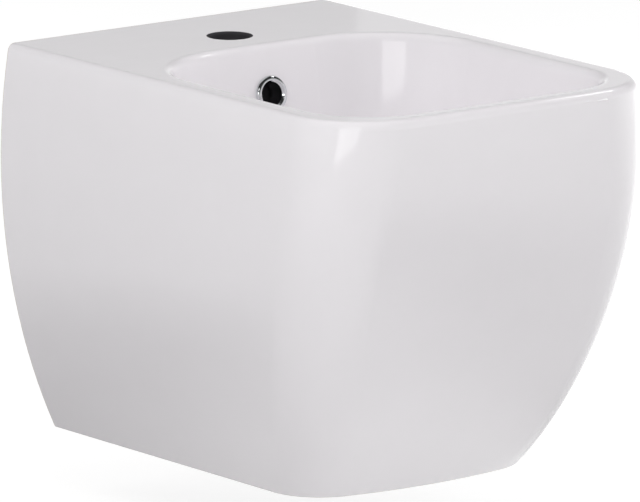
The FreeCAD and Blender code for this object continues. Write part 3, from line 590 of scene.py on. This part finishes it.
def ring_mesh(sizes):
    """Overflow ring: rounded face that dips into the opening, and a thin spigot."""
    low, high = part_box("overflow_ring")
    outer = (high.x - low.x) / 2
    inner = sizes.ring_opening / 2
    face = sizes.ring_height
    bevel = sizes.ring_bevel
    spigot_wall = 1.6 * MM
    seat_round = 0.2 * MM
    bevel_round = 0.5 * MM
    corners = [
        (inner + spigot_wall, -sizes.ring_spigot, 0),
        (inner + spigot_wall, 0.0, 0),
        (outer, 0.0, seat_round),
        (outer, face, sizes.ring_round),
        (inner + bevel, face, bevel_round),
        (inner, face - bevel, bevel_round),
        (inner, -sizes.ring_spigot, 0),
        (inner + spigot_wall, -sizes.ring_spigot, 0),
    ]
    bm = bmesh.new()
    turned(bm, rounded(corners))
    return finished_mesh("overflow_ring_turned", bm)


def plug_mesh(sizes):
    """Plug cap: slightly crowned top, rounded edge, and a register with a socket underneath."""
    low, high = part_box("plug_cap")
    outer = (high.x - low.x) / 2
    top = high.z - low.z
    under_round = 0.8 * MM
    register = 18.3 * MM
    register_depth = 2.0 * MM
    register_round = 0.3 * MM
    socket = 4.2 * MM
    socket_top = register_depth + 3.0 * MM
    corners = [
        (0.0, top, 0),
        (outer, top - sizes.plug_crown, sizes.plug_round),
        (outer, register_depth, under_round),
        (register, register_depth, 0),
        (register, 0.0, register_round),
        (socket, 0.0, 0),
        (socket, socket_top, 0),
        (0.0, socket_top, 0),
    ]
    bm = bmesh.new()
    turned(bm, rounded(corners))
    return finished_mesh("plug_cap_turned", bm)


def stud_mesh(sizes):
    """Threaded rod along Z with chamfered ends."""
    low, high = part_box("wall_studs")
    span = high.y - low.y
    crest = (high.z - low.z) / 2
    depth = sizes.stud_thread
    pitch = sizes.stud_pitch
    around = 24
    rows_per_turn = 6
    count = round(span / pitch * rows_per_turn)
    rows = []
    for i in range(count + 1):
        z = span * i / count
        row = []
        for k in range(around):
            turn = (z / pitch - k / around) % 1
            thread = crest - depth * abs(2 * turn - 1)
            chamfer = crest - depth + min(z, span - z)
            radius = min(thread, chamfer)
            bearing = 2 * math.pi * k / around
            row.append((radius * math.cos(bearing), radius * math.sin(bearing), z))
        rows.append(row)
    bm = bmesh.new()
    capped_tube(bm, rows)
    return finished_mesh("wall_stud_threaded", bm, sharp_degrees=75)


def nut_mesh(bore):
    """Hexagon nut along Z with the corners turned off at both ends."""
    low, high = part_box("stud_nuts")
    height = high.y - low.y
    flat = (high.z - low.z) / 2
    face_share = 0.94
    face = face_share * flat
    chamfer_degrees = 60
    slope = math.tan(math.radians(chamfer_degrees))
    sink = 0.8 * MM
    around = 144
    side = math.pi / 3
    rows = []
    for k in range(around):
        bearing = 2 * math.pi * k / around
        hexagon = flat / math.cos(bearing % side - side / 2)
        drop = (hexagon - face) / slope
        profile = [
            (bore + sink, 0.0), (face, 0.0), (hexagon, drop), (hexagon, height - drop),
            (face, height), (bore + sink, height), (bore, height - sink), (bore, sink),
        ]
        rows.append([(r * math.cos(bearing), r * math.sin(bearing), z) for r, z in profile])
    bm = bmesh.new()
    stitched(bm, rows, True)
    return finished_mesh("stud_nut_hexagon", bm, sharp_degrees=18)


def spring_mesh(sizes):
    """Round-wire compression spring along Z, wound at an even pitch."""
    low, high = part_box("plug_spring")
    wire = sizes.spring_wire / 2
    radius = (high.x - low.x) / 2 - wire
    rise = high.z - low.z - 2 * wire
    turns = sizes.spring_turns
    per_turn = 40
    around = 12
    count = turns * per_turn
    rows = []
    for i in range(count + 1):
        share = i / count
        bearing = 2 * math.pi * turns * share
        middle = Vector((radius * math.cos(bearing), radius * math.sin(bearing), wire + rise * share))
        out = Vector((math.cos(bearing), math.sin(bearing), 0))
        row = []
        for k in range(around):
            turn = 2 * math.pi * k / around
            row.append(middle + out * wire * math.cos(turn) + Vector((0, 0, wire * math.sin(turn))))
        rows.append(row)
    bm = bmesh.new()
    capped_tube(bm, rows)
    return finished_mesh("plug_spring_wound", bm)


def pair_mesh(single, spacing):
    """Two copies of a mesh, side by side along X, as one."""
    bm = bmesh.new()
    for side in (-1, 1):
        copy = single.copy()
        copy.transform(Matrix.Translation((side * spacing / 2, 0, 0)))
        bm.from_mesh(copy)
        bpy.data.meshes.remove(copy)
    mesh = bpy.data.meshes.new(single.name + "_pair")
    bm.to_mesh(mesh)
    bm.free()
    return mesh


def away_from_wall(node):
    """Place of a pair of fixings: Z of their mesh turned to point from the wall into the room."""
    low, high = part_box(node)
    return Matrix.Translation((0, high.y, (low.z + high.z) / 2)) @ Matrix.Rotation(math.pi / 2, 4, "X")


class BIDET_OT_ceramic(bpy.types.Operator):
    """Glaze the ceramic body"""
    bl_idname = "bidet.ceramic"
    bl_label = "Ceramic body"

    def execute(self, context):
        dress("ceramic_body")
        return {"FINISHED"}


class BIDET_OT_overflow_ring(bpy.types.Operator):
    """Turn the chrome ring of the overflow and seat it in the basin's rear wall"""
    bl_idname = "bidet.overflow_ring"
    bl_label = "Overflow ring"

    def execute(self, context):
        lean = OVERFLOW_AXIS.to_track_quat("Z", "Y").to_matrix().to_4x4()
        place = Matrix.Translation(OVERFLOW_POINT) @ lean
        new_piece("overflow_bezel", ring_mesh(context.scene.bidet_sizes), place, "overflow_ring", "bidet")
        return {"FINISHED"}


class BIDET_OT_waste(bpy.types.Operator):
    """Finish the waste, its seals and its nut"""
    bl_idname = "bidet.waste"
    bl_label = "Waste"

    def execute(self, context):
        dress("waste_body", "flange_seal", "under_basin_seal", "slip_washer", "back_nut")
        return {"FINISHED"}


class BIDET_OT_push_plug(bpy.types.Operator):
    """Turn the plug's cap, wind its spring and finish the pieces that guide it"""
    bl_idname = "bidet.push_plug"
    bl_label = "Push plug"

    def execute(self, context):
        sizes = context.scene.bidet_sizes
        dress("plug_seal", "plug_stem", "plug_cartridge")
        low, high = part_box("plug_cap")
        middle = (low + high) / 2
        place = Matrix.Translation((middle.x, middle.y, low.z))
        new_piece("plug_cap_crowned", plug_mesh(sizes), place, "plug_cap", "plug")
        low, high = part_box("plug_spring")
        middle = (low + high) / 2
        place = Matrix.Translation((middle.x, middle.y, low.z))
        spring = new_piece("plug_spring_coil", spring_mesh(sizes), place, "plug_spring", "bidet")
        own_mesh(spring)
        return {"FINISHED"}


class BIDET_OT_bottle_trap(bpy.types.Operator):
    """Finish the bottle trap and its pipes, nuts and washers"""
    bl_idname = "bidet.bottle_trap"
    bl_label = "Bottle trap"

    def execute(self, context):
        dress(*(node for node in NODES if node.startswith("trap_")), "outlet_pipe")
        return {"FINISHED"}


class BIDET_OT_wall_fixings(bpy.types.Operator):
    """Thread the wall studs, shape their nuts and finish the sleeves and washers"""
    bl_idname = "bidet.wall_fixings"
    bl_label = "Wall fixings"

    def execute(self, context):
        sizes = context.scene.bidet_sizes
        dress("stud_sleeves", "stud_washers")
        low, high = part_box("wall_studs")
        crest = (high.z - low.z) / 2
        spacing = high.x - low.x - 2 * crest
        clearance = 0.05 * MM
        studs = pair_mesh(stud_mesh(sizes), spacing)
        new_piece("wall_studs_threaded", studs, away_from_wall("wall_studs"), "wall_studs", "bidet")
        nuts = pair_mesh(nut_mesh(crest + clearance), spacing)
        new_piece("stud_nuts_chamfered", nuts, away_from_wall("stud_nuts"), "stud_nuts", "bidet")
        return {"FINISHED"}


def aimed(name, data, azimuth, elevation, distance):
    """A lamp or camera that looks at the aim point from two angles and a distance."""
    level = math.cos(elevation)
    away = Vector((math.sin(azimuth) * level, -math.cos(azimuth) * level, math.sin(elevation)))
    rig = bpy.data.objects.new(name, data)
    bpy.context.scene.collection.objects.link(rig)
    rig.location = Vector(bpy.context.scene.bidet_studio.aim) + away * distance
    rig.rotation_euler = away.to_track_quat("Z", "Y").to_euler()
    return rig


def softbox(name, level, azimuth, elevation, distance, width, height, mirrored):
    """Rectangular lamp that looks at the part, evenly bright, shown in reflections or not."""
    lamp = bpy.data.lights.new(name, "AREA")
    lamp.shape = "RECTANGLE"
    lamp.size = width
    lamp.size_y = height
    lamp.energy = level * width * height * math.pi
    rig = aimed(name, lamp, math.radians(azimuth), math.radians(elevation), distance)
    rig.visible_camera = False
    rig.visible_glossy = mirrored


def by_ray(tree, kinds, others, chosen):
    """One strength for rays of some kinds and another for the rest."""
    path = add(tree, "ShaderNodeLightPath")
    share = 0.0
    for kind in kinds:
        either = add(tree, "ShaderNodeMath", {0: share, 1: path.outputs[kind]}, operation="MAXIMUM")
        share = either.outputs[0]
    mixed = add(tree, "ShaderNodeMix", {FACTOR: share, VALUE_A: others, VALUE_B: chosen}, data_type="FLOAT")
    return mixed.outputs[MIXED_VALUE]


def studio_room(studio, colours):
    """White room: in reflections its walls fade up into a dark ceiling with a skylight."""
    world = bpy.data.worlds.new("studio_room")
    bpy.context.scene.world = world
    world.use_nodes = True
    tree = world.node_tree
    tree.nodes.clear()
    way = add(tree, "ShaderNodeTexCoord").outputs["Generated"]
    height = add(tree, "ShaderNodeSeparateXYZ", {0: way}).outputs["Z"]
    walls = add(tree, "ShaderNodeMapRange", {
        "Value": height, "From Min": 0.0, "From Max": WALL_TOP, "To Min": WHITE, "To Max": studio.ceiling})
    overhead = add(tree, "ShaderNodeVectorMath", {0: way, 1: SKYLIGHT_WAY}, operation="DOT_PRODUCT")
    skylight = add(tree, "ShaderNodeMapRange", {
        "Value": overhead.outputs["Value"], "From Min": SKYLIGHT_EDGE, "From Max": SKYLIGHT_FULL,
        "To Min": 0.0, "To Max": studio.skylight})
    mirrored = add(tree, "ShaderNodeMath", {
        0: walls.outputs[0], 1: skylight.outputs[0]}, operation="MAXIMUM")
    unseen = by_ray(tree, ("Is Glossy Ray", "Is Transmission Ray"), studio.room, mirrored.outputs[0])
    strength = by_ray(tree, ("Is Camera Ray",), unseen, WHITE)
    backdrop = add(tree, "ShaderNodeBackground", {"Color": rgba(colours.light), "Strength": strength})
    add(tree, "ShaderNodeOutputWorld", {"Surface": backdrop.outputs[0]})


def pale_painted_floor(colours):
    """Painted floor: white to the eye, with the part's shadow laid softly on it."""
    # Even dull paint to the light, so that the part gets a plain pale glow from below
    material = bpy.data.materials.new("pale_painted_floor")
    material.use_nodes = True
    tree = material.node_tree
    tree.nodes.clear()
    paint = add(tree, "ShaderNodeBsdfDiffuse", {"Color": rgba(colours.floor)})
    shade = add(tree, "ShaderNodeBsdfDiffuse", {"Color": rgba(colours.floor, SHADOW_SHARE)})
    # In reflections alone the floor has painted light: a glow brighter on the right, and soft patches of
    # painted shade and glow that darken or brighten the glaze
    place = add(tree, "ShaderNodeTexCoord").outputs["Object"]
    sideways = add(tree, "ShaderNodeSeparateXYZ", {0: place}).outputs["X"]
    mirrored = add(tree, "ShaderNodeMapRange", {
        "Value": sideways, "From Min": FLOOR_PLAIN[0], "From Max": FLOOR_BRIGHT[0],
        "To Min": FLOOR_PLAIN[1], "To Max": FLOOR_BRIGHT[1]})
    for x, y, reach, change in FLOOR_PAINTED_PATCHES:
        off = add(tree, "ShaderNodeVectorMath", {0: place, 1: (x, y, 0.0)}, operation="DISTANCE")
        # Painted shade where the change is below zero, painted glow where it is above
        card = add(tree, "ShaderNodeMapRange", {
            "Value": off.outputs["Value"], "From Min": PATCH_CORE, "From Max": reach,
            "To Min": change, "To Max": 0.0})
        mirrored = add(tree, "ShaderNodeMath", {
            0: mirrored.outputs[0], 1: card.outputs[0]}, operation="ADD")
    strength = by_ray(tree, ("Is Camera Ray",), mirrored.outputs[0], FLOOR_GLOW)
    glow = add(tree, "ShaderNodeEmission", {"Color": rgba(colours.light), "Strength": strength})
    bright = add(tree, "ShaderNodeAddShader", {0: shade.outputs[0], 1: glow.outputs[0]})
    seen = by_ray(tree, ("Is Camera Ray", "Is Glossy Ray", "Is Transmission Ray"), 0.0, 1.0)
    above = add(tree, "ShaderNodeMixShader", {0: seen, 1: paint.outputs[0], 2: bright.outputs[0]})
    # Clear from underneath, so that the part's foot can be looked at
    under = add(tree, "ShaderNodeNewGeometry").outputs["Backfacing"]
    clear = add(tree, "ShaderNodeBsdfTransparent")
    shown = add(tree, "ShaderNodeMixShader", {0: under, 1: above.outputs[0], 2: clear.outputs[0]})
    add(tree, "ShaderNodeOutputMaterial", {"Surface": shown.outputs[0]})
    return material


def wide_floor(studio, colours):
    """Wide level floor under the part."""
    bm = bmesh.new()
    bmesh.ops.create_grid(bm, x_segments=FLOOR_CELLS, y_segments=FLOOR_CELLS, size=FLOOR_REACH)
    floor = bpy.data.objects.new("floor", finished_mesh("floor", bm))
    bpy.context.scene.collection.objects.link(floor)
    floor.location = (0, 0, BASE_Z - studio.floor_gap)
    floor.data.materials.append(pale_painted_floor(colours))


def photo_camera(studio):
    """Long lens at the picture's viewing angle."""
    camera = bpy.data.cameras.new("camera")
    camera.lens = studio.lens
    camera.sensor_fit = "HORIZONTAL"
    camera.sensor_width = SENSOR_WIDTH
    bpy.context.scene.camera = aimed("camera", camera, studio.azimuth, studio.elevation, studio.distance)


class BIDET_OT_studio(bpy.types.Operator):
    """Lay the floor, set the lamps and aim the camera"""
    bl_idname = "bidet.studio"
    bl_label = "Studio"

    def execute(self, context):
        studio = context.scene.bidet_studio
        colours = context.scene.bidet_colours
        context.scene.view_settings.view_transform = "Standard"
        studio_room(studio, colours)
        wide_floor(studio, colours)
        for name, level, *setting in LAMPS:
            softbox(name, getattr(studio, level), *setting)
        photo_camera(studio)
        return {"FINISHED"}


STEPS = (
    BIDET_OT_ceramic,
    BIDET_OT_overflow_ring,
    BIDET_OT_waste,
    BIDET_OT_push_plug,
    BIDET_OT_bottle_trap,
    BIDET_OT_wall_fixings,
    BIDET_OT_studio,
)


class BIDET_PT_panel(bpy.types.Panel):
    """Sizes, colours and steps of the bidet"""
    bl_idname = "BIDET_PT_panel"
    bl_label = "Bidet"
    bl_space_type = "VIEW_3D"
    bl_region_type = "UI"
    bl_category = "Bidet"

    def draw(self, context):
        here = context.scene
        groups = {"Sizes": here.bidet_sizes, "Colours": here.bidet_colours, "Studio": here.bidet_studio}
        for title, group in groups.items():
            box = self.layout.box()
            box.label(text=title)
            for name in group.__annotations__:
                box.prop(group, name)
        for step in STEPS:
            self.layout.operator(step.bl_idname)


GROUPS = {"bidet_sizes": BidetSizes, "bidet_colours": BidetColours, "bidet_studio": BidetStudio}


def register():
    for name, group in GROUPS.items():
        bpy.utils.register_class(group)
        setattr(bpy.types.Scene, name, PointerProperty(type=group))
    for item in (*STEPS, BIDET_PT_panel):
        bpy.utils.register_class(item)


def unregister():
    for item in (BIDET_PT_panel, *reversed(STEPS)):
        bpy.utils.unregister_class(item)
    for name, group in GROUPS.items():
        delattr(bpy.types.Scene, name)
        bpy.utils.unregister_class(group)


def main():
    register()
    bpy.ops.bidet.ceramic()
    bpy.ops.bidet.overflow_ring()
    bpy.ops.bidet.waste()
    bpy.ops.bidet.push_plug()
    bpy.ops.bidet.bottle_trap()
    bpy.ops.bidet.wall_fixings()
    bpy.ops.bidet.studio()


if __name__ == "__main__":
    main()
